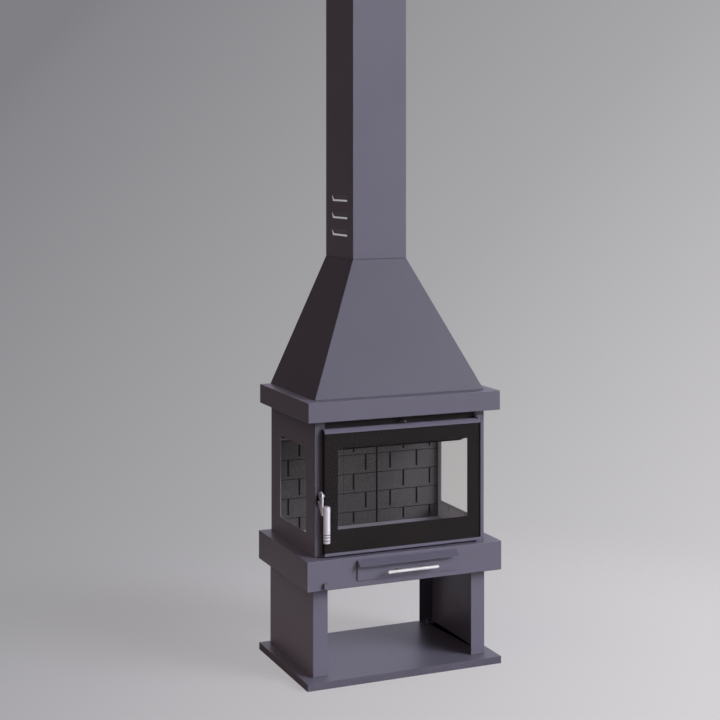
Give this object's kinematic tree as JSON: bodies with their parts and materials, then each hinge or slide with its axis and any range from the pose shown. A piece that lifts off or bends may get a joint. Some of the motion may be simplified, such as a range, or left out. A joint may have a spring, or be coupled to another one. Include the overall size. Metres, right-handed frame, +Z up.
{
  "type": "wood fireplace with hood and chimney cover",
  "caption": "Wall-side sheet-steel wood fireplace: log-store base, glazed firebox with swing door, latch handle, ash drawer, air slide, damper, hood and chimney cover.",
  "frame": {"origin": "centre of the underside of the base plate, on the floor; the wall plane is at y = +0.264", "axes": "+Z up, -Y towards the person in front of the door, +X to that person's right"},
  "size_m": [0.8024, 0.5705, 2.6],
  "materials": {
    "grey_powder_coat": "satin-matt powder coat, cool mid grey",
    "firebox_grey_enamel": "satin heat-proof grey",
    "black_stove_paint": "satin black heat-proof paint",
    "cast_iron": "raw casting",
    "firebrick": "matt dark-grey pressed vermiculite with a brick pattern",
    "stove_glass": "clear ceramic glass, polished",
    "glass_fibre_rope": "woven glass-fibre rope",
    "zinc_plated_steel": "bright zinc plating",
    "brushed_stainless": "fine brushed stainless steel"
  },
  "bodies": {
    "fireplace": {"base_plate": "grey_powder_coat", "base_stiffener": "grey_powder_coat", "left_leg": "grey_powder_coat", "right_leg": "grey_powder_coat", "leg_bolts": "zinc_plated_steel", "shelf_floor": "grey_powder_coat", "hearth_shelf": "grey_powder_coat", "drawer_runners": "zinc_plated_steel", "air_guides": "zinc_plated_steel", "firebox_floor": "firebox_grey_enamel", "cast_grate": "cast_iron", "left_side_panel": "grey_powder_coat", "right_side_panel": "grey_powder_coat", "firebox_back": "grey_powder_coat", "firebox_top": "grey_powder_coat", "front_frame": "black_stove_paint", "rear_air_duct": "firebox_grey_enamel", "left_lining": "firebrick", "centre_lining": "firebrick", "right_lining": "firebrick", "lining_retainer": "firebox_grey_enamel", "baffle_rails": "firebox_grey_enamel", "baffle_plate": "firebrick", "air_wash_deflector": "firebox_grey_enamel", "left_window_glass": "stove_glass", "right_window_glass": "stove_glass", "left_window_tape": "glass_fibre_rope", "right_window_tape": "glass_fibre_rope", "window_clips": "zinc_plated_steel", "flue_spigot": "black_stove_paint", "damper_guides": "black_stove_paint", "hinge_brackets": "grey_powder_coat", "latch_keeper": "black_stove_paint", "keeper_roller": "zinc_plated_steel", "collar": "grey_powder_coat", "cover_screws": "zinc_plated_steel", "hood": "grey_powder_coat", "chimney_cover": "grey_powder_coat", "upper_wall_bracket": "zinc_plated_steel", "lower_wall_bracket": "zinc_plated_steel", "hood_wall_bracket": "zinc_plated_steel"},
    "door": {"door_frame": "black_stove_paint", "door_top_rail": "grey_powder_coat", "door_bottom_rail": "grey_powder_coat", "door_glass": "stove_glass", "door_rope_seal": "glass_fibre_rope", "door_hinge_bushes": "grey_powder_coat", "latch_lug": "black_stove_paint", "latch_pivot": "zinc_plated_steel"},
    "latch_handle": {"latch_plate": "brushed_stainless", "handle_grip": "brushed_stainless"},
    "ash_drawer": {"ash_pan": "zinc_plated_steel", "drawer_front": "grey_powder_coat", "drawer_bar": "brushed_stainless", "drawer_posts": "brushed_stainless"},
    "air_control": {"air_knob": "grey_powder_coat", "air_shutter": "zinc_plated_steel"},
    "flue_damper": {"damper_plate": "black_stove_paint", "damper_rod": "zinc_plated_steel"}
  },
  "joints": [
    {"name": "door_swing", "type": "hinge", "parent": "fireplace", "child": "door", "pos_m": [0.315, -0.2287, 0.71], "axis": [0, 0, 1], "range_deg": [0, 105]},
    {"name": "handle_lift", "type": "hinge", "parent": "door", "child": "latch_handle", "pos_m": [-0.341, -0.25, 0.704], "axis": [-1, 0, 0], "range_deg": [0, 60]},
    {"name": "drawer_slide", "type": "slide", "parent": "fireplace", "child": "ash_drawer", "axis": [0, -1, 0], "range_m": [0, 0.25]},
    {"name": "air_slide", "type": "slide", "parent": "fireplace", "child": "air_control", "axis": [0, -1, 0], "range_m": [0, 0.016]},
    {"name": "damper_slide", "type": "slide", "parent": "fireplace", "child": "flue_damper", "axis": [0, -1, 0], "range_m": [0, 0.12]}
  ]
}
